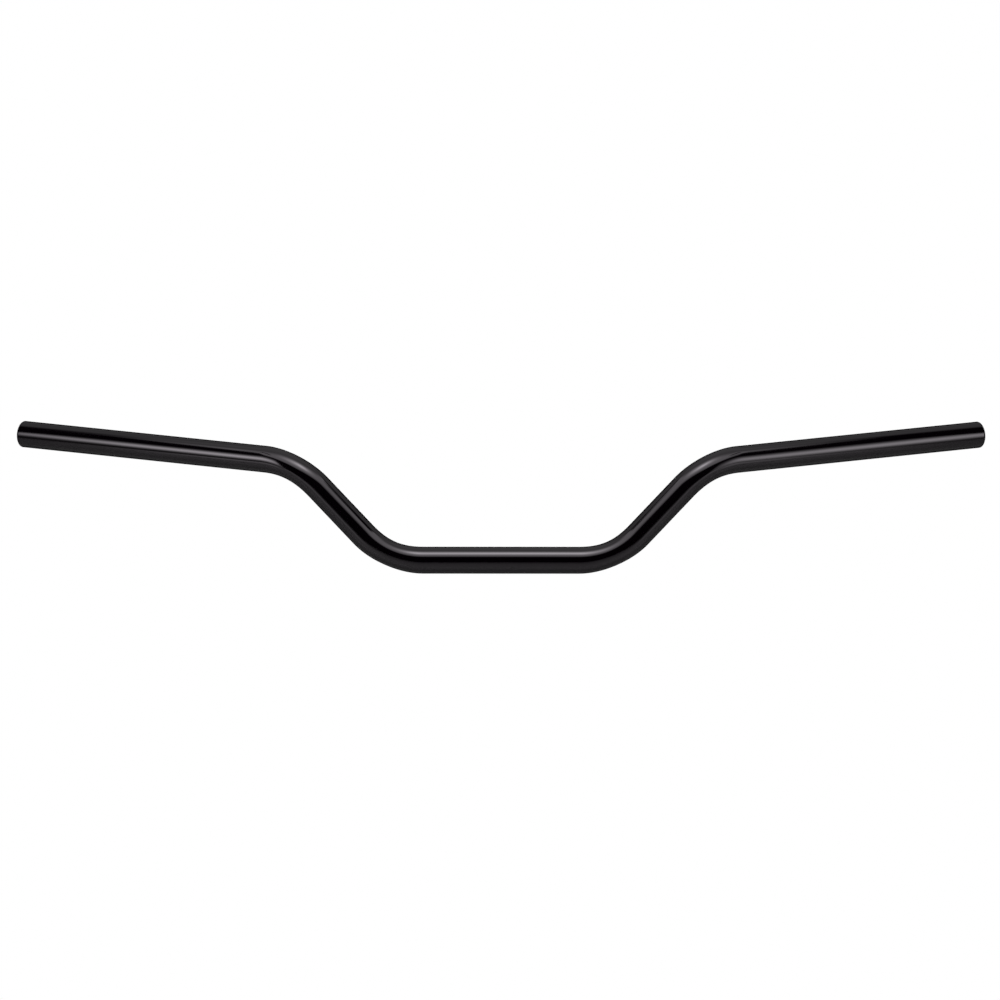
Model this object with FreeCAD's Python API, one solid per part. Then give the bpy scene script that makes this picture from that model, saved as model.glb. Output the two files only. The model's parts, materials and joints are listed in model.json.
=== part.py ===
import FreeCAD, Part
import math
import os

# Tracker handlebar: one round steel tube, bent at four places and open at both ends.
# The origin is the middle of the clamp stretch. +X runs along that stretch, +Y points
# back towards the rider and +Z points up. The grips are level. All sizes are in mm.

# The tube
TUBE_DIAMETER = 22.2
TUBE_WALL = 2.5

# The bar's reach. A corner is the point where two straight stretches would meet.
OVERALL_WIDTH = 813.0
CLAMP_CORNER_SPAN = 186.5
GRIP_CORNER_SPAN = 340.0
GRIP_RISE = 77.8
GRIP_CORNER_SETBACK = 22.0
GRIP_SWEEP_DEG = 28.0

# The bends, which flatten the tube a little across the bend and spread it the other way
BEND_RADIUS = 68.0
BEND_FLATTENING = 0.055
BEND_SPREAD = 0.015
SECTIONS_PER_BEND = 13

# The two ends: a rounded outer edge and a broken inner one, both limited by the wall
END_EDGE_RADIUS = 1.6
END_BORE_CHAMFER = 0.4
EDGE_SHARE_OF_WALL = 0.75
CHAMFER_SHARE_OF_WALL = 0.2

Vector = FreeCAD.Vector
FULL_TURN_DEG = 360.0

outer_radius = TUBE_DIAMETER / 2
bore_radius = outer_radius - TUBE_WALL
edge_radius = min(END_EDGE_RADIUS, EDGE_SHARE_OF_WALL * TUBE_WALL)
bore_chamfer = min(END_BORE_CHAMFER, CHAMFER_SHARE_OF_WALL * TUBE_WALL)


def direction(start, end):
    """Unit vector from one point to another."""
    return (end - start).normalize()


class Bend:
    """The arc that rounds one corner of the centreline, tangent to both stretches."""

    def __init__(self, before, corner, after):
        self.into = direction(before, corner)
        self.out = direction(corner, after)
        self.turn = self.into.getAngle(self.out)
        tangent_length = BEND_RADIUS * math.tan(self.turn / 2)
        self.start = corner - self.into * tangent_length
        self.end = corner + self.out * tangent_length
        self.inward = (self.out - self.into * self.into.dot(self.out)).normalize()
        self.centre = self.start + self.inward * BEND_RADIUS
        self.across = self.into.cross(self.inward)

    def section(self, share, radius):
        """Closed wire of the tube's section at a share of the way round the bend."""
        angle = share * self.turn
        inward = self.inward * math.cos(angle) - self.into * math.sin(angle)
        middle = self.centre - inward * BEND_RADIUS
        if share in (0.0, 1.0):
            ring = Part.Circle(middle, inward.cross(self.across), radius)
            ring.XAxis = self.across
        else:
            oval = math.sin(math.pi * share) ** 2
            wide = radius + outer_radius * BEND_SPREAD * oval
            narrow = radius - outer_radius * BEND_FLATTENING * oval
            ring = Part.Ellipse(middle + self.across * wide, middle + inward * narrow, middle)
        return Part.Wire(ring.toShape())

    def skin(self, radius):
        """Solid that fills the bend out to a radius from its centreline."""
        last = SECTIONS_PER_BEND - 1
        sections = [self.section(step / last, radius) for step in range(SECTIONS_PER_BEND)]
        return Part.makeLoft(sections, True)

    def solid(self):
        """The bend's hollow tube."""
        return self.skin(outer_radius).cut(self.skin(bore_radius))


def straight_tube(start, end):
    """A straight stretch of hollow tube, square at both ends."""
    axis = end - start
    tube = Part.makeCylinder(outer_radius, axis.Length, start, axis)
    bore = Part.makeCylinder(bore_radius, axis.Length, start, axis)
    return tube.cut(bore)


def grip_tube(start, tip, sideways):
    """A grip stretch: the wall's profile with its end edges, turned about the grip's axis."""
    axis = direction(start, tip)
    length = (tip - start).Length

    def at(along, out):
        return start + axis * along + sideways * out

    round_start = at(length - edge_radius, outer_radius)
    round_end = at(length, outer_radius - edge_radius)
    edge_slant = edge_radius * math.sqrt(0.5)
    round_middle = at(length - edge_radius + edge_slant, outer_radius - edge_radius + edge_slant)
    corners = [
        round_end,
        at(length, bore_radius + bore_chamfer),
        at(length - bore_chamfer, bore_radius),
        at(0.0, bore_radius),
        at(0.0, outer_radius),
        round_start,
    ]
    edges = [Part.Arc(round_start, round_middle, round_end).toShape()]
    for first, second in zip(corners, corners[1:]):
        edges.append(Part.LineSegment(first, second).toShape())
    profile = Part.Face(Part.Wire(edges))
    return profile.revolve(start, axis, FULL_TURN_DEG)


# The centreline of the +X half: clamp middle, two corners and the middle of the end face
sweep = math.radians(GRIP_SWEEP_DEG)
grip_axis = Vector(math.cos(sweep), math.sin(sweep), 0)
end_overhang = (outer_radius - edge_radius) * math.sin(sweep) + edge_radius * (1 - math.cos(sweep))
tip_x = OVERALL_WIDTH / 2 - end_overhang

clamp_middle = Vector(0, 0, 0)
clamp_corner = Vector(CLAMP_CORNER_SPAN / 2, 0, 0)
grip_corner = Vector(GRIP_CORNER_SPAN / 2, GRIP_CORNER_SETBACK, GRIP_RISE)
tip = grip_corner + grip_axis * ((tip_x - grip_corner.x) / grip_axis.x)

clamp_bend = Bend(clamp_middle, clamp_corner, grip_corner)
grip_bend = Bend(clamp_corner, grip_corner, tip)

# One half is built, mirrored, and joined by the clamp stretch
half = [
    clamp_bend.solid(),
    straight_tube(clamp_bend.end, grip_bend.start),
    grip_bend.solid(),
    grip_tube(grip_bend.end, tip, grip_bend.across),
]
mirrored = [piece.mirror(clamp_middle, Vector(1, 0, 0)) for piece in half]
clamp_stretch = straight_tube(clamp_bend.start * -1, clamp_bend.start)
handlebar = clamp_stretch.multiFuse(half + mirrored).Solids[0]

os.makedirs("parts", exist_ok=True)
handlebar.exportStep("parts/handlebar_tube.step")

# Sizes that follow from the driving dimensions
grip_length = (tip - grip_bend.end).Length
riser_length = (grip_bend.start - clamp_bend.end).Length
bend_length = BEND_RADIUS * (clamp_bend.turn + grip_bend.turn)
tube_length = 2 * (clamp_bend.start.x + bend_length + riser_length + grip_length)
wall_area = math.pi * (outer_radius**2 - bore_radius**2)
print(f"clamp stretch {2 * clamp_bend.start.x:.2f}, riser {riser_length:.2f}, grip {grip_length:.2f}")
print(f"turns {math.degrees(clamp_bend.turn):.2f} and {math.degrees(grip_bend.turn):.2f} degrees")
print(f"tip {tip.x:.3f}, {tip.y:.3f}, {tip.z:.3f}, grip starts {grip_bend.end}")
print(f"tube length {tube_length:.1f}, volume {handlebar.Volume:.0f}")
print(f"volume by section and length {tube_length * wall_area:.0f}, valid {handlebar.isValid()}")
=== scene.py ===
# %% [markdown]
# # A tracker handlebar in gloss black
#
# A tracker handlebar is one round steel tube. It is bent cold at four places, cut square at
# both ends and painted gloss black. Nothing is bolted to it, so the whole likeness rests on
# three things: a skin that is truly smooth, a paint that reflects as paint does, and a studio
# whose soft boxes draw the long bright lines along the tube.
#
# The imported model is loaded first. It gives the real sizes, and the new skin is measured
# against it. The finished bar may not outgrow it.

import json
import math
import bmesh
import bpy
from collections import namedtuple
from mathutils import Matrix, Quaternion, Vector
from mathutils.bvhtree import BVHTree


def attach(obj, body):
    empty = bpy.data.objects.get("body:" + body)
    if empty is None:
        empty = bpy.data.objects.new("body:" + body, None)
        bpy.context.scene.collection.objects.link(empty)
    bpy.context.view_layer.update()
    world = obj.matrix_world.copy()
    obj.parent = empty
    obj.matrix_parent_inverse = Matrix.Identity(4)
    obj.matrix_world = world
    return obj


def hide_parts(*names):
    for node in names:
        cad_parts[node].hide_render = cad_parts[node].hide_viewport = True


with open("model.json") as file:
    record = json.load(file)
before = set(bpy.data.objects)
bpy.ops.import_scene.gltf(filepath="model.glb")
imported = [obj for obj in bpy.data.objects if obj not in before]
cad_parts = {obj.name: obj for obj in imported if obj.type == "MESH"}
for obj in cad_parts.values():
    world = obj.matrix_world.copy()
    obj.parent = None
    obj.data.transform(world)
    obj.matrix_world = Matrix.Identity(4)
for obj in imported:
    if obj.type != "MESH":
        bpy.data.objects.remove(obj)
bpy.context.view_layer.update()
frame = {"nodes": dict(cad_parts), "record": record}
MM = 0.001


def in_mm(length):
    """A length in metres as millimetres, rounded."""
    return round(length / MM, 2)


# %% [markdown]
# ## The sizes of the tube
#
# The record of the part holds the seats for the grips and the bores in the ends, with their
# radii. Reading them there is safer than typing them again. Only the sizes that no seat gives
# are repeated here from the construction: the two corners of each half, the bend radius, how
# much a bend flattens the tube, and the broken edges of the ends. All are in metres.

# %% Sizes from the record, and the few that it doesn't hold
seats = {seat["name"]: seat for seat in frame["record"]["mounts"]}
grip_seat = seats["left_grip_seat"]
TUBE_RADIUS = grip_seat["dims"]["r_mm"] * MM
BORE_RADIUS = seats["left_end_bore"]["dims"]["r_mm"] * MM
CLAMP_CORNER = Vector((0.09325, 0, 0))
GRIP_CORNER = Vector((0.170, 0.022, grip_seat["pos_m"][2]))
BEND_RADIUS = 0.068
BEND_FLATTENING = 0.055
BEND_SPREAD = 0.015
END_EDGE_RADIUS = 0.0016
BORE_CHAMFER = 0.0004
print(f"the tube is {in_mm(2 * TUBE_RADIUS)} mm across and its bore {in_mm(2 * BORE_RADIUS)} mm")

# %% The direction of a grip, and the tip of the bar
grip_axis = Vector(grip_seat["axis"]).normalized()
grip_seat_end = Vector(grip_seat["pos_m"]) + grip_axis * grip_seat["dims"]["length_mm"] * MM / 2
tip = grip_seat_end + grip_axis * END_EDGE_RADIUS
print("the middle of the end face, in mm:", [in_mm(side) for side in tip])

# %% [markdown]
# ## The line that the tube follows
#
# A bent tube can be drawn as a Bezier curve with a round bevel, which is quick. A bending
# machine makes something stricter: straight stretches joined by arcs of one radius, where the
# tube is pressed a little oval in the middle of each arc. Reflections on gloss paint show that
# difference at once, so the line is built as the machine makes it. It is a row of stops. Each
# stop has a middle, two directions that are carried along without twisting, and the amount by
# which the tube is oval there.

# %% Stops along the straight stretches
Stop = namedtuple("Stop", "middle side up across inward oval")
STRAIGHT_STEP = 0.006


def straight_stops(start, end, side, up):
    """Evenly spaced stops from start to end, both included."""
    count = max(1, round((end - start).length / STRAIGHT_STEP))
    stops = []
    for step in range(count + 1):
        stops.append(Stop(start.lerp(end, step / count), side, up, side, up, 0.0))
    return stops


print(f"straight stretches get a stop about every {in_mm(STRAIGHT_STEP)} mm")

# %% Where the bends start and end
def bend_ends(before, corner, after):
    """Start and end of the arc that rounds a corner, and the directions into and out of it."""
    into = (corner - before).normalized()
    out = (after - corner).normalized()
    reach = BEND_RADIUS * math.tan(into.angle(out) / 2)
    return corner - into * reach, corner + out * reach, into, out


clamp_middle = Vector((0, 0, 0))
clamp_end, riser_start, clamp_axis, riser_axis = bend_ends(clamp_middle, CLAMP_CORNER, GRIP_CORNER)
riser_end, grip_start, _, _ = bend_ends(CLAMP_CORNER, GRIP_CORNER, tip)
riser_length = (riser_end - riser_start).length
print(f"the clamp stretch is {in_mm(2 * clamp_end.x)} mm long, a riser {in_mm(riser_length)} mm")

# %% Stops round a bend
BEND_STEP = math.radians(2.0)


def bend_stops(start, into, out, side, up):
    """Stops round one bend, both ends included, most oval in the middle of the arc."""
    inward = (out - into * into.dot(out)).normalized()
    across = into.cross(inward)
    centre = start + inward * BEND_RADIUS
    turn = into.angle(out)
    count = round(turn / BEND_STEP)
    stops = []
    for step in range(count + 1):
        roll = Quaternion(across, turn * step / count)
        inward_here = roll @ inward
        oval = math.sin(math.pi * step / count) ** 2
        middle = centre - inward_here * BEND_RADIUS
        stops.append(Stop(middle, roll @ side, roll @ up, across, inward_here, oval))
    return stops


print(f"bends get a stop about every {math.degrees(BEND_STEP):.0f} degrees")

# %% One half of the line, from the clamp's middle to the tip
side = Vector((0, 1, 0))
up = Vector((0, 0, 1))
half_line = straight_stops(clamp_middle, clamp_end, side, up)
half_line += bend_stops(clamp_end, clamp_axis, riser_axis, side, up)[1:]

side, up = half_line[-1].side, half_line[-1].up
half_line += straight_stops(riser_start, riser_end, side, up)[1:]
half_line += bend_stops(riser_end, riser_axis, grip_axis, side, up)[1:]

side, up = half_line[-1].side, half_line[-1].up
half_line += straight_stops(grip_start, grip_seat_end, side, up)[1:]
print("half the line has", len(half_line), "stops")

# %% [markdown]
# ## The skin of the tube
#
# Each stop becomes a ring of points, and neighbouring rings are joined by four-sided faces.
# The ends need more care than the rest: a saw leaves a square end, a deburring wheel rounds its
# outer edge, and a countersink breaks the edge of the bore. Three short profiles give that. The
# rings then run back through the bore, so the skin closes on itself like a stretched doughnut
# and no edge is left open.

# %% Rings of points
POINTS_AROUND = 96


def ring(stop, radius):
    """Points round the tube at a stop, at a radius that the bend makes a little oval."""
    wide = radius + TUBE_RADIUS * BEND_SPREAD * stop.oval
    narrow = radius - TUBE_RADIUS * BEND_FLATTENING * stop.oval
    points = []
    for step in range(POINTS_AROUND):
        turn = math.tau * step / POINTS_AROUND
        out = stop.side * math.cos(turn) + stop.up * math.sin(turn)
        spread = stop.across * (out.dot(stop.across) * wide)
        points.append(stop.middle + spread + stop.inward * (out.dot(stop.inward) * narrow))
    return points


bore_rings = [ring(stop, BORE_RADIUS) for stop in reversed(half_line)]
print(len(bore_rings), "rings of", POINTS_AROUND, "points line half the bore")

# %% The rings at the end of the bar
EDGE_STEPS = 8
EDGE_LEAD = 0.0005


def end_ring(back, radius):
    """Points round the tube near its tip, a distance back from the end face."""
    return ring(half_line[-1]._replace(middle=tip - grip_axis * back), radius)


edge_rings = [end_ring(END_EDGE_RADIUS + EDGE_LEAD, TUBE_RADIUS)]
for step in range(EDGE_STEPS + 1):
    turn = math.pi / 2 * step / EDGE_STEPS
    back = END_EDGE_RADIUS * (1 - math.sin(turn))
    edge_rings.append(end_ring(back, TUBE_RADIUS - END_EDGE_RADIUS * (1 - math.cos(turn))))
mouth_rings = [end_ring(0, BORE_RADIUS + BORE_CHAMFER), end_ring(BORE_CHAMFER, BORE_RADIUS)]
print(len(edge_rings), "rings round the outer edge,", len(mouth_rings), "at the mouth of the bore")

# %% The rings of one half, out along the skin and back through the bore
outer_rings = [ring(stop, TUBE_RADIUS) for stop in half_line[:-1]]
half_rings = outer_rings + edge_rings + mouth_rings + bore_rings
print(len(half_rings), "rings in one half")

# %% [markdown]
# ## Joining the rings
#
# The bar is its own mirror image, so the second half is the first with its rings turned about
# and x negated. The two halves share the ring in the clamp's middle, outside and in the bore.
# Along with each point goes its depth: how far down the bore it lies. The finish uses that
# later, because spray only reaches a little way into a tube.

# %% All rings, and how deep each lies in the bore
first_bore_ring = len(half_rings) - len(bore_rings)
half_depths = [0.0] * len(half_rings)
for index in range(first_bore_ring, len(half_rings)):
    step = half_rings[index][0] - half_rings[index - 1][0]
    half_depths[index] = half_depths[index - 1] + step.length

inner_rings = reversed(half_rings[1:-1])
mirrored = [[Vector((-p.x, p.y, p.z)) for p in points] for points in inner_rings]
rings = half_rings + mirrored
depths = half_depths + half_depths[-2:0:-1]
print(len(rings), "rings in all; the bore is", in_mm(max(depths)), "mm deep to the middle")

# %% Faces between neighbouring rings
corners = [point for points in rings for point in points]
faces = []
for ring_index in range(len(rings)):
    near = ring_index * POINTS_AROUND
    far = (ring_index + 1) % len(rings) * POINTS_AROUND
    for step in range(POINTS_AROUND):
        following = (step + 1) % POINTS_AROUND
        faces.append((near + step, near + following, far + following, far + step))
print(len(corners), "corners and", len(faces), "faces")

# %% The mesh of the bent tube
SHARP_FROM = math.radians(30)
CUBIC_CM = 1e-6

skin = bpy.data.meshes.new("bent_tube")
skin.from_pydata(corners, [], faces)
tidy = bmesh.new()
tidy.from_mesh(skin)
bmesh.ops.recalc_face_normals(tidy, faces=tidy.faces)
enclosed = tidy.calc_volume(signed=True)
tidy.to_mesh(skin)
tidy.free()
skin.shade_smooth()
skin.set_sharp_from_angle(angle=SHARP_FROM)
depth_mark = skin.attributes.new("bore_depth", "FLOAT", "POINT")
depth_mark.data.foreach_set("value", [depth for depth in depths for _ in range(POINTS_AROUND)])
print(f"the skin closes round {enclosed / CUBIC_CM:.2f} cm3 of steel")

# %% The bent tube takes the solid's place
bent_tube = bpy.data.objects.new("bent_tube", skin)
bpy.context.scene.collection.objects.link(bent_tube)
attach(bent_tube, "root")
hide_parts("handlebar_tube")

solid_mesh = frame["nodes"]["handlebar_tube"].data
solid_corners = [vertex.co for vertex in solid_mesh.vertices]
solid_skin = BVHTree.FromPolygons(solid_corners, [face.vertices for face in solid_mesh.polygons])
stray = max(solid_skin.find_nearest(point)[3] for point in corners)
print("no point of the new skin lies further from the packed solid than", in_mm(stray), "mm")

# %% [markdown]
# ## Small helpers for nodes
#
# Materials, lamps and the world are all little graphs of nodes. One helper adds a node, sets its
# plain properties and fills its sockets: a socket that is given another node's output is linked,
# and any other value is written on the socket itself. The others shorten the sums, ranges and
# noise that come up again and again.

# %% Adding a node in one line
def fill(tree, node, inputs):
    """Fills a node's sockets, by name or number, with values or with other nodes' outputs."""
    for key, value in inputs.items():
        if isinstance(value, bpy.types.NodeSocket):
            tree.links.new(value, node.inputs[key])
        else:
            node.inputs[key].default_value = value


def add_node(tree, kind, inputs=None, **properties):
    """Adds a shader node with its properties set and its sockets filled."""
    node = tree.nodes.new("ShaderNode" + kind)
    for name, value in properties.items():
        setattr(node, name, value)
    fill(tree, node, inputs or {})
    return node


print("nodes can be added in one line")

# %% Sums, ranges and noise
def maths(tree, operation, *values):
    """The output of a Math node on plain numbers or other outputs."""
    return add_node(tree, "Math", dict(enumerate(values)), operation=operation).outputs[0]


def vector_maths(tree, operation, *values, output=0):
    """The same for vectors."""
    node = add_node(tree, "VectorMath", dict(enumerate(values)), operation=operation)
    return node.outputs[output]


def measured(tree, value, low, high, to_low, to_high):
    """A value's range eased into another range, and held at both ends."""
    ranges = {"From Min": low, "From Max": high, "To Min": to_low, "To Max": to_high}
    node = add_node(tree, "MapRange", {"Value": value, **ranges}, interpolation_type="SMOOTHSTEP")
    return node.outputs[0]


def noise(tree, place, per_metre, detail):
    """Noise between 0 and 1, by its grains per metre and its layers of finer detail."""
    settings = {"Vector": place, "Scale": per_metre, "Detail": detail}
    return add_node(tree, "TexNoise", settings).outputs["Fac"]


print("sums, ranges and noise take one line each")

# %% Empty trees and new materials
def empty_tree(owner):
    """Switches a material, lamp or world to nodes, and gives its emptied tree."""
    owner.use_nodes = True
    owner.node_tree.nodes.clear()
    return owner.node_tree


def new_material(name):
    """A node material, its tree and its Principled shader, already on the output."""
    material = bpy.data.materials.new(name)
    tree = empty_tree(material)
    shader = add_node(tree, "BsdfPrincipled")
    add_node(tree, "OutputMaterial", {"Surface": shader.outputs["BSDF"]})
    return material, tree, shader


print("materials can be started in one line")

# %% [markdown]
# ## Gloss black paint
#
# The bar is powder coated: a black resin that flows out in the oven to a hard gloss. A single
# black with one roughness would look like plastic in a game. Real powder coat is a little
# uneven. It sets with a shallow orange peel about two millimetres across, its gloss drifts from
# place to place by a few percent, and its black is a touch warmer or cooler. All three come from
# noise in the object's own coordinates, so the pattern has a real scale and stays put when the
# bar moves. The resin's refractive index is 1.5, which gives the weak reflection head on and the
# strong one at the edges.

# %% The paint's colour, gloss and orange peel
BLACK_COOL = (0.0007, 0.0002, 0.0010, 1)
BLACK_WARM = (0.0011, 0.0003, 0.0009, 1)
PLUM_SHEEN = (1.0, 0.93, 1.0, 1)
RESIN_INDEX = 1.5
COAT_ROUGHNESS = (0.05, 0.09)
PATCHES_PER_METRE = 14
PATCH_DETAIL = 4.0
PEEL_PER_METRE = 420
PEEL_DETAIL = 1.5
PEEL_HEIGHT = 0.000006
PEEL_STRENGTH = 0.5
NOISE_RANGE = (0.3, 0.7)

paint, tree, coat = new_material("gloss_black_paint")
place = add_node(tree, "TexCoord").outputs["Object"]
patches = noise(tree, place, PATCHES_PER_METRE, PATCH_DETAIL)
peel = noise(tree, place, PEEL_PER_METRE, PEEL_DETAIL)
tint = add_node(tree, "MixRGB", {0: patches, 1: BLACK_COOL, 2: BLACK_WARM}).outputs[0]
gloss = measured(tree, patches, *NOISE_RANGE, *COAT_ROUGHNESS)
peel_shape = {"Strength": PEEL_STRENGTH, "Distance": PEEL_HEIGHT, "Height": peel}
bumps = add_node(tree, "Bump", peel_shape).outputs[0]
fill(tree, coat, {"Base Color": tint, "Roughness": gloss, "Normal": bumps})
fill(tree, coat, {"IOR": RESIN_INDEX, "Specular Tint": PLUM_SHEEN})
skin.materials.append(paint)
print("the paint has", len(tree.nodes), "nodes")

# %% [markdown]
# ## Bare steel down the bore
#
# The coat covers the end faces and drifts a short way into each bore. Past that the tube is bare
# drawn steel, grey and dull, as the mill left it. Two materials with a hard border would look
# like tape, so one material goes from powder to steel by the depth that each point carries, and
# noise frays the border.

# %% The bore's own material
SPRAY_REACH = 0.018
SPRAY_FADE = 0.022
FRAY_PER_METRE = 260
FRAY_DETAIL = 5.0
STEEL = (0.30, 0.29, 0.28, 1)
POWDER = (0.004, 0.004, 0.0045, 1)
WALL_ROUGHNESS = (0.42, 0.6)

drawn_steel, tree, wall = new_material("bore_steel")
place = add_node(tree, "TexCoord").outputs["Object"]
depth = add_node(tree, "Attribute", attribute_name="bore_depth").outputs["Fac"]
fray = noise(tree, place, FRAY_PER_METRE, FRAY_DETAIL)
frayed = maths(tree, "MULTIPLY_ADD", fray, SPRAY_FADE, depth)
bare = measured(tree, frayed, SPRAY_REACH, SPRAY_REACH + SPRAY_FADE, 0.0, 1.0)
colour = add_node(tree, "MixRGB", {0: bare, 1: POWDER, 2: STEEL}).outputs[0]
dullness = measured(tree, fray, *NOISE_RANGE, *WALL_ROUGHNESS)
fill(tree, wall, {"Base Color": colour, "Metallic": bare, "Roughness": dullness})
skin.materials.append(drawn_steel)
print("the steel has", len(tree.nodes), "nodes")

# %% Which faces take the steel
steel_slot = skin.materials.find("bore_steel")
bore_faces = 0
for face in skin.polygons:
    if all(depth_mark.data[corner].value > 0 for corner in face.vertices):
        face.material_index = steel_slot
        bore_faces += 1
print(bore_faces, "faces lie in the bore and take the steel")

# %% [markdown]
# ## The camera
#
# A bar this wide looks flat and even in the picture, with grips of nearly the same thickness as
# the middle. That is a long lens, far away. The camera stands six metres off and a little above
# the bar, and looks down by about eleven degrees. Its lens is chosen so that the tube has the
# thickness that it has in the picture.

# %% A long lens, slightly above the bar
CAMERA_REACH = 5.99
LOOK_DOWN = math.radians(11.33)
LEAN = math.radians(0.04)
LOOK_AT = Vector((-0.0009, 0, 0.05055))
SENSOR_MM = 36.0
LENS_MM = 262.4

lens = bpy.data.cameras.new("long_lens")
lens.sensor_width = SENSOR_MM
lens.lens = LENS_MM
camera = bpy.data.objects.new("camera", lens)
bpy.context.scene.collection.objects.link(camera)
look = Vector((0, math.cos(LOOK_DOWN), -math.sin(LOOK_DOWN)))
camera.location = LOOK_AT - look * CAMERA_REACH
camera.rotation_euler = look.to_track_quat("-Z", "Y").to_euler()
camera.rotation_euler.rotate_axis("Z", LEAN)
bpy.context.scene.camera = camera
print("the frame is", in_mm(CAMERA_REACH * SENSOR_MM / LENS_MM), "mm wide at the bar")

# %% [markdown]
# ## A white surround
#
# The background is pure white. Turning the lamps up until everything behind clips would also
# wash out the paint, so the white is only for rays that come straight from the camera. The
# paint has to see a backdrop too, or its edges would mirror a void. It sees one white card
# behind the bar. Everything else around the bar is a dark room, and that is what makes black
# paint look black.

# %% Which rays see white
def sees_white(tree, backdrop):
    """1 for camera rays, and for mirrored or transmitted rays that meet the backdrop."""
    path = add_node(tree, "LightPath").outputs
    mirrored_rays = maths(tree, "MAXIMUM", path["Is Glossy Ray"], path["Is Transmission Ray"])
    on_card = maths(tree, "MULTIPLY", mirrored_rays, backdrop)
    return maths(tree, "MAXIMUM", path["Is Camera Ray"], on_card)


print("camera rays see white, and mirrored ones see it on the backdrop")

# %% The room
WHITE = (1, 1, 1, 1)
ROOM = (0.002, 0.002, 0.002, 1)
CARD_EDGE = math.cos(math.radians(6))
CARD_MIDDLE = math.cos(math.radians(4))

room = bpy.data.worlds.new("dark_room")
bpy.context.scene.world = room
tree = empty_tree(room)
toward = add_node(tree, "TexCoord").outputs["Generated"]
facing = vector_maths(tree, "DOT_PRODUCT", toward, look, output="Value")
card = measured(tree, facing, CARD_EDGE, CARD_MIDDLE, 0.0, 1.0)
dark = add_node(tree, "Background", {"Color": ROOM}).outputs[0]
white = add_node(tree, "Background", {"Color": WHITE}).outputs[0]
surround = add_node(tree, "MixShader", {0: sees_white(tree, card), 1: dark, 2: white}).outputs[0]
add_node(tree, "OutputWorld", {"Surface": surround})
print("the room is dark, with a white card behind the bar")

# %% [markdown]
# ## The floor
#
# The bar hangs well above a pale floor, far enough that its shadow falls below the picture. The
# lower half of the tube mirrors this floor as a soft dark grey. Near the bar it is plain matt
# paint that keeps the shadow, and towards its rim it fades into the white surround. From below
# it lets the camera through, so the underside of the bar can be looked at too.
#
# Studio lamps also throw light on the floor. Here it lies in pools along the two diagonals in
# front of the bar, and past them the floor falls away into the dark. The pools are what the
# risers and the undersides of the grips mirror. Lamps aimed at the floor would light the bar as
# well, so the pools are painted on the floor as a glow. The dark past them is painted shade: the
# floor's grey is darkened there.

# %% Lay the floor
FLOOR_DROP = 0.6
FLOOR_RADIUS = 12.0
FLOOR_CORNERS = 128

floor_mesh = bpy.data.meshes.new("floor")
disc = bmesh.new()
bmesh.ops.create_circle(disc, cap_ends=True, radius=FLOOR_RADIUS, segments=FLOOR_CORNERS)
disc.to_mesh(floor_mesh)
disc.free()
floor = bpy.data.objects.new("floor", floor_mesh)
floor.location.z = -FLOOR_DROP
bpy.context.scene.collection.objects.link(floor)
print("the floor lies", FLOOR_DROP, "m below the clamp")

# %% Where the floor goes white
FADE_MIDDLE = (0, -0.35, 0)
FADE = (0.8, 1.15)
BACK_CARD = (2.0, 3.5)
BACK_CARD_SIDE = (0.3, 0.6)

floor_paint = bpy.data.materials.new("pale_floor")
tree = empty_tree(floor_paint)
place = add_node(tree, "TexCoord").outputs["Object"]
sides = add_node(tree, "SeparateXYZ", {0: place}).outputs
off_middle = maths(tree, "ABSOLUTE", sides["X"])
away = vector_maths(tree, "DISTANCE", place, FADE_MIDDLE, output="Value")
far = measured(tree, away, *FADE, 0.0, 1.0)
behind = measured(tree, sides["Y"], *BACK_CARD, 0.0, 1.0)
between = measured(tree, off_middle, *BACK_CARD_SIDE, 1.0, 0.0)
back_card = maths(tree, "MULTIPLY", behind, between)
white_here = maths(tree, "MULTIPLY", far, sees_white(tree, back_card))
print(f"the floor fades to white between {FADE[0]} and {FADE[1]} m from its middle")

# %% A soft spot of light
Spot = namedtuple("Spot", "right up width height glow")


def soft_spot(tree, place, spot):
    """The brightness of one spot: a bell curve, in metres from the middle of its surface."""
    offset = vector_maths(tree, "SUBTRACT", place, (spot.right, spot.up, 0))
    bell = vector_maths(tree, "MULTIPLY", offset, (1 / spot.width, 1 / spot.height, 0))
    reach = vector_maths(tree, "DOT_PRODUCT", bell, bell, output="Value")
    share = maths(tree, "EXPONENT", maths(tree, "MULTIPLY", reach, -1.0))
    return maths(tree, "MULTIPLY", share, spot.glow)


print("a spot is given by its", ", ".join(Spot._fields))

# %% The pools along the diagonals
LONG_POOL = Spot(0.10, 5.5, 0.45, 3.0, 0.90)
NEAR_POOL = Spot(-0.05, 2.2, 0.28, 0.65, 0.40)
OUTER_POOL = Spot(0.62, 2.3, 0.15, 0.70, 1.2)
DIAGONAL = math.sqrt(0.5)

folded = add_node(tree, "CombineXYZ", {0: off_middle, 1: sides["Y"]}).outputs[0]
turned = vector_maths(tree, "DOT_PRODUCT", folded, (DIAGONAL, DIAGONAL, 0), output="Value")
outward = vector_maths(tree, "DOT_PRODUCT", folded, (DIAGONAL, -DIAGONAL, 0), output="Value")
diagonal_place = add_node(tree, "CombineXYZ", {0: turned, 1: outward}).outputs[0]
pools = soft_spot(tree, diagonal_place, LONG_POOL)
for spot in (NEAR_POOL, OUTER_POOL):
    pools = maths(tree, "ADD", pools, soft_spot(tree, diagonal_place, spot))
print("three pools of light lie along each diagonal")

# %% The floor's paint
FLOOR_GREY = (0.58, 0.58, 0.58)
FLOOR_LIFT = 0.45
PAINTED_SHADE_EDGE = (0.6, 1.05)
PAINTED_SHADE_SHARE = 0.25


def scaled(tree, colour, share):
    """A colour times a share that changes from place to place."""
    return add_node(tree, "VectorMath", {0: colour, "Scale": share}, operation="SCALE").outputs[0]


# Painted shade: past the pools the floor's grey is darkened towards a quarter of itself.
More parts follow.
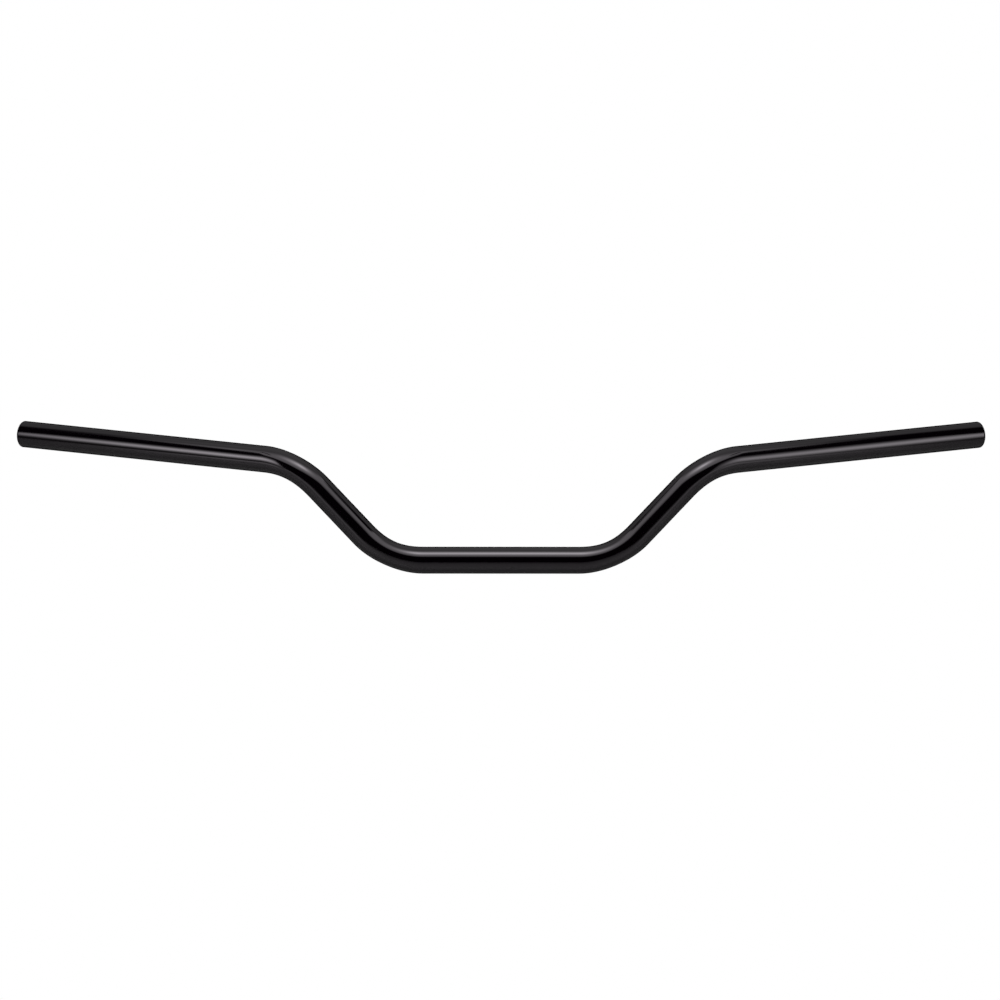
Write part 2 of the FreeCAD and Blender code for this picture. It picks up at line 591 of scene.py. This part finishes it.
floor_painted_shade = measured(tree, turned, *PAINTED_SHADE_EDGE, 1.0, PAINTED_SHADE_SHARE)
matt = add_node(tree, "BsdfDiffuse", {"Color": scaled(tree, FLOOR_GREY, floor_painted_shade)}).outputs[0]
straight_on = add_node(tree, "LightPath").outputs["Is Camera Ray"]
lift = maths(tree, "MULTIPLY_ADD", straight_on, FLOOR_LIFT, pools)
glow = add_node(tree, "Emission", {"Color": WHITE, "Strength": lift}).outputs[0]
near = add_node(tree, "AddShader", {0: matt, 1: glow}).outputs[0]
rim = add_node(tree, "Emission", {"Color": WHITE}).outputs[0]
from_above = add_node(tree, "MixShader", {0: white_here, 1: near, 2: rim}).outputs[0]
underside = add_node(tree, "NewGeometry").outputs["Backfacing"]
open_below = add_node(tree, "BsdfTransparent").outputs[0]
surface = add_node(tree, "MixShader", {0: underside, 1: from_above, 2: open_below}).outputs[0]
add_node(tree, "OutputMaterial", {"Surface": surface})
floor_mesh.materials.append(floor_paint)
print("the floor's paint has", len(tree.nodes), "nodes")

# %% [markdown]
# ## Lamps that can be painted
#
# On gloss black there is nothing to see but reflections, so each lamp is placed by the line that
# it draws on the tube. A real soft box is brighter in the middle than at its rim. A plain area
# lamp is not, and its hard outline would show along the whole bar. The lamp's own node tree can
# read the position on the lamp, so a brightness can be painted on it. The power is set so that a
# brightness of 1 glows like a white card in full light.

# %% A bare area lamp, and the position on its face
UV_MIDDLE = (0.5, 0.5, 0)


def bare_lamp(name, middle, target, width, height):
    """An area lamp that faces target: its node tree, and the position on its face in metres."""
    lamp = bpy.data.lights.new(name, "AREA")
    lamp.shape = "RECTANGLE"
    lamp.size = width
    lamp.size_y = height
    lamp.energy = math.pi * width * height
    box = bpy.data.objects.new(name, lamp)
    box.location = middle
    box.rotation_euler = (Vector(target) - Vector(middle)).to_track_quat("-Z", "Y").to_euler()
    box.visible_camera = False
    bpy.context.scene.collection.objects.link(box)
    tree = empty_tree(lamp)
    where = add_node(tree, "TexCoord").outputs["UV"]
    centred = vector_maths(tree, "SUBTRACT", where, UV_MIDDLE)
    return tree, vector_maths(tree, "MULTIPLY", centred, (width, height, 0))


def light_up(tree, brightness):
    """Gives a lamp's node tree its brightness."""
    light = add_node(tree, "Emission", {"Strength": brightness}).outputs[0]
    add_node(tree, "OutputLight", {"Surface": light})


print("lamps can be hung and painted")

# %% [markdown]
# ## The sheet overhead
#
# A large sheet of diffusion cloth hangs over the bar, with slanted sides. Its front half is lit
# and has one hot spot, from a strobe behind the cloth. That draws the bright band along the clamp
# stretch and the streaks in the bends. Its back half is dim and greys the upper edge of the tube.
# The dim ceiling shows beyond it, and between the two lies a dark seam. On the grips, the end of
# the sheet is where the black band begins. The lit part has slanted front corners and a back
# border that bows at the sides, as hung cloth does. Three lamps could do the same, but their
# light would add up where they overlap and the seam would be lost. So one lamp is painted with
# all of it.

# %% Hang the sheet
SHEET_HEIGHT = 2.4
SHEET_SHIFT = -0.03
SHEET_WIDTH = 9.6
SHEET_LENGTH = 7.6
SHEET_MIDDLE = 0.4

over = Vector((SHEET_SHIFT, SHEET_MIDDLE, SHEET_HEIGHT))
below = over - Vector((0, 0, 1))
tree, place = bare_lamp("overhead_sheet", over, below, SHEET_WIDTH, SHEET_LENGTH)
sides = add_node(tree, "SeparateXYZ", {0: place}).outputs
off_middle = maths(tree, "ABSOLUTE", sides["X"])
along = maths(tree, "ADD", sides["Y"], SHEET_MIDDLE)
print("the sheet hangs", SHEET_HEIGHT, "m above the clamp")

# %% The lit front of the cloth
LIT_FRONT = 1.85
LIT_FROM = (-3.20, -1.92)
LIT_TO = (-0.84, 0.29)
LIT_SHIFT = 0.21
LIT_SIDES = (1.73, 2.93)
CORNER_FROM = 1.1
FRONT_CUT = 0.8
BACK_BOW = 0.6

corner = maths(tree, "MAXIMUM", maths(tree, "SUBTRACT", off_middle, CORNER_FROM), 0.0)
front = maths(tree, "MULTIPLY_ADD", corner, -FRONT_CUT, along)
back = maths(tree, "MULTIPLY_ADD", corner, -BACK_BOW, along)
off_lit = maths(tree, "ABSOLUTE", maths(tree, "ADD", sides["X"], LIT_SHIFT))
lit = measured(tree, front, *LIT_FROM, 0.0, LIT_FRONT)
lit = maths(tree, "MULTIPLY", lit, measured(tree, back, *LIT_TO, 1.0, 0.0))
lit = maths(tree, "MULTIPLY", lit, measured(tree, off_lit, *LIT_SIDES, 1.0, 0.0))
print("the front of the cloth glows at", LIT_FRONT)

# %% The dim back, the hot spot and the slanted sides
DIM_BACK = 0.60
DIM_FROM = (-0.72, 0.24)
HOT_SPOT = Spot(-0.07, -0.86 - SHEET_MIDDLE, 0.60, 0.65, 3.6)
HOT_CORE = Spot(0.10, -0.77 - SHEET_MIDDLE, 0.25, 0.41, 3.1)
SHEET_SLANT = 0.5
SHEET_EDGE = (1.75, 1.98)

cloth = maths(tree, "ADD", lit, measured(tree, along, *DIM_FROM, 0.0, DIM_BACK))
for spot in (HOT_SPOT, HOT_CORE):
    cloth = maths(tree, "ADD", cloth, soft_spot(tree, place, spot))
sheet_reach = maths(tree, "MULTIPLY_ADD", along, SHEET_SLANT, off_middle)
cloth = maths(tree, "MULTIPLY", cloth, measured(tree, sheet_reach, *SHEET_EDGE, 1.0, 0.0))
print("the back of the cloth glows at", DIM_BACK, "and the hot spot adds", HOT_SPOT.glow)

# %% The ceiling past the cloth
CEILING = 0.45
CEILING_FROM = (-0.1, 0.5)
CEILING_SLANT = 1.6
CEILING_EDGE = (2.33, 3.0)
FALL = (0.96, 2.4)
FALLEN = 0.62

ceiling = measured(tree, along, *CEILING_FROM, 0.0, CEILING)
ceiling_reach = maths(tree, "MULTIPLY_ADD", along, CEILING_SLANT, off_middle)
on_ceiling = measured(tree, ceiling_reach, *CEILING_EDGE, 0.0, 1.0)
ceiling = maths(tree, "MULTIPLY", ceiling, on_ceiling)
falling = measured(tree, along, *FALL, 1.0, FALLEN)
light_up(tree, maths(tree, "MULTIPLY", maths(tree, "MAXIMUM", cloth, ceiling), falling))
print("the sheet's light has", len(tree.nodes), "nodes")

# %% [markdown]
# ## The side boxes
#
# Each grip turns away from the camera by its sweep, so it mirrors a place far out to the side.
# A soft box stands there on each side and draws the bright line along the middle of the grip.
# The left one draws a crisp line. The right one is taller and its line fades downwards. Each box
# stops just past the place that the end of its grip mirrors, so the line stops at the rounded
# edge. A third box stands low behind the bar. The front hardly mirrors it, and it draws a line
# along the back, so the paint looks glossy from there too.

# %% A soft box
def soft_box(name, middle, target, width, height, spot, fade):
    """A lamp with one soft spot, whose border fades out."""
    tree, place = bare_lamp(name, middle, target, width, height)
    brightness = soft_spot(tree, place, spot)
    out = add_node(tree, "SeparateXYZ", {0: vector_maths(tree, "ABSOLUTE", place)}).outputs
    for axis, size in (("X", width), ("Y", height)):
        border = measured(tree, out[axis], size / 2 - fade, size / 2, 1.0, 0.0)
        brightness = maths(tree, "MULTIPLY", brightness, border)
    light_up(tree, brightness)
    print(f"{name} is {width} m wide and {height} m tall")


print("a soft box fades out at its border")

# %% Stand the boxes
LEFT_GRIP = (-0.30, 0.09, 0.08)
RIGHT_GRIP = (0.30, 0.09, 0.08)
BAR_MIDDLE = (0, 0, 0.05)
LEFT_SPOT = Spot(0.02, 0, 0.28, 0.213, 6.6)
RIGHT_SPOT = Spot(0.175, -0.02, 0.334, 0.265, 4.35)
REAR_SPOT = Spot(0, 0, 0.8, 0.15, 3.0)

soft_box("left_box", (-1.10, -0.533, 0.295), LEFT_GRIP, 0.56, 0.90, LEFT_SPOT, fade=0.05)
soft_box("right_box", (1.059, -0.576, 0.227), RIGHT_GRIP, 0.66, 1.00, RIGHT_SPOT, fade=0.03)
soft_box("rear_box", (0, 2.6, -0.33), BAR_MIDDLE, 1.80, 0.45, REAR_SPOT, fade=0.1)

# %% [markdown]
# ## Two narrow flags
#
# Photographers hang strips of black cloth, called flags, to draw thin dark lines on gloss. Here
# one hangs on each side, halfway up to the sheet, and the riser across from it mirrors it as a
# dark line along its upper side. The line could be painted on the sheet, but the streaks on the
# grips come from the same place up there and would be cut too. Halfway up, risers and grips look
# past each other, so a strip can hide the sheet from the risers alone. Only mirrored rays can
# see the flags, so they neither show nor throw a shadow.

# %% A card that only mirrored rays can see
def unseen_card(name, low, high):
    """A level rectangle for reflections, from its lowest x and y to its highest."""
    mesh = bpy.data.meshes.new(name)
    card_corners = [low, (high[0], low[1]), high, (low[0], high[1])]
    mesh.from_pydata([(x, y, 0) for x, y in card_corners], [], [(0, 1, 2, 3)])
    card = bpy.data.objects.new(name, mesh)
    card.visible_camera = False
    card.visible_diffuse = False
    card.visible_shadow = False
    bpy.context.scene.collection.objects.link(card)
    print(f"{name} is {high[0] - low[0]:.2f} m wide and {high[1] - low[1]:.2f} m long")
    return card


def faded_cloth(tree, solid, colour):
    """Matt cloth where solid is 1, and nothing where it is 0."""
    clear = add_node(tree, "BsdfTransparent").outputs[0]
    matt = add_node(tree, "BsdfDiffuse", {"Color": colour}).outputs[0]
    surface = add_node(tree, "MixShader", {0: solid, 1: clear, 2: matt}).outputs[0]
    add_node(tree, "OutputMaterial", {"Surface": surface})


print("cards can be hung for reflections alone")

# %% The flags' cloth
FLAG_INNER = (-0.13, -0.01)
FLAG_OUTER = (0.027, 0.062)
FLAG_ENDS = (0.15, 0.23)
FLAG_BLACK = (0.01, 0.01, 0.01, 1)

black_cloth = bpy.data.materials.new("black_cloth")
tree = empty_tree(black_cloth)
place = add_node(tree, "TexCoord").outputs["Object"]
sides = add_node(tree, "SeparateXYZ", {0: place}).outputs
from_inner = measured(tree, sides["X"], *FLAG_INNER, 0.0, 1.0)
to_outer = measured(tree, sides["X"], *FLAG_OUTER, 1.0, 0.0)
to_ends = measured(tree, maths(tree, "ABSOLUTE", sides["Y"]), *FLAG_ENDS, 1.0, 0.0)
solid = maths(tree, "MULTIPLY", maths(tree, "MULTIPLY", from_inner, to_outer), to_ends)
faded_cloth(tree, solid, FLAG_BLACK)
print("the black cloth has", len(tree.nodes), "nodes")

# %% Hang the flags
FLAG_HEIGHT = 1.2
FLAG_BACK = -0.19
FLAG_LEAN = math.radians(13)
LEFT_FLAG_ACROSS = -0.897
RIGHT_FLAG_ACROSS = 0.854

flag_low = (FLAG_INNER[0], -FLAG_ENDS[1])
flag_high = (FLAG_OUTER[1], FLAG_ENDS[1])
left_flag = unseen_card("left_flag", flag_low, flag_high)
left_flag.location = (LEFT_FLAG_ACROSS, FLAG_BACK, FLAG_HEIGHT)
left_flag.rotation_euler.z = math.pi + FLAG_LEAN
right_flag = unseen_card("right_flag", flag_low, flag_high)
right_flag.location = (RIGHT_FLAG_ACROSS, FLAG_BACK, FLAG_HEIGHT)
right_flag.rotation_euler.z = -FLAG_LEAN
for flag in (left_flag, right_flag):
    flag.data.materials.append(black_cloth)
print("the flags hang", FLAG_HEIGHT, "m above the clamp")

# %% [markdown]
# ## A grey card under the bar
#
# Against white, the lower edge of a gloss tube picks up the bright floor behind it and goes pale.
# In a studio a dark card is slid under and behind the bar, out of the picture, to keep that edge
# dark. Here only mirrored rays can see the card, so it is painted shade seen in reflection alone.
# Its front and side borders fade, as those of a card that is out of focus do. Its felt is painted
# darker towards the back, more painted shade, because the very edge of the tube mirrors that part.

# %% Slide in the card
CARD_DROP = 0.3
CARD_FRONT = -0.234
CARD_HALF_WIDTH = 1.5
CARD_LENGTH = 3.0

card_low = (-CARD_HALF_WIDTH, CARD_FRONT)
card_high = (CARD_HALF_WIDTH, CARD_FRONT + CARD_LENGTH)
grey_card = unseen_card("grey_card", card_low, card_high)
grey_card.location.z = -CARD_DROP
print("the grey card lies", CARD_DROP, "m below the clamp")

# %% The card's felt
FELT = (0.24, 0.24, 0.24)
CARD_FADE = 0.3
CARD_SWEEP = 0.33
DARK_BACK = (0.12, 0.32)
DARK_SHARE = 0.05

felt = bpy.data.materials.new("grey_felt")
tree = empty_tree(felt)
place = add_node(tree, "TexCoord").outputs["Object"]
sides = add_node(tree, "SeparateXYZ", {0: place}).outputs
off_middle = maths(tree, "ABSOLUTE", sides["X"])
from_front = measured(tree, sides["Y"], CARD_FRONT, CARD_FRONT + CARD_FADE, 0.0, 1.0)
from_side = measured(tree, off_middle, 0.0, CARD_HALF_WIDTH, 1.0, 0.0)
solid = maths(tree, "MULTIPLY", from_front, from_side)
swept = maths(tree, "MULTIPLY_ADD", off_middle, -CARD_SWEEP, sides["Y"])
# Painted shade for reflections: the felt's grey darkens towards the back.
painted_back_shade = measured(tree, swept, *DARK_BACK, 1.0, DARK_SHARE)
faded_cloth(tree, solid, scaled(tree, FELT, painted_back_shade))
grey_card.data.materials.append(felt)
print("the felt has", len(tree.nodes), "nodes")

# %% [markdown]
# ## Colours as written
#
# The Standard view shows colours as they are written, with no film curve.

# %% The Standard view
bpy.context.scene.view_settings.view_transform = "Standard"
bpy.context.view_layer.update()
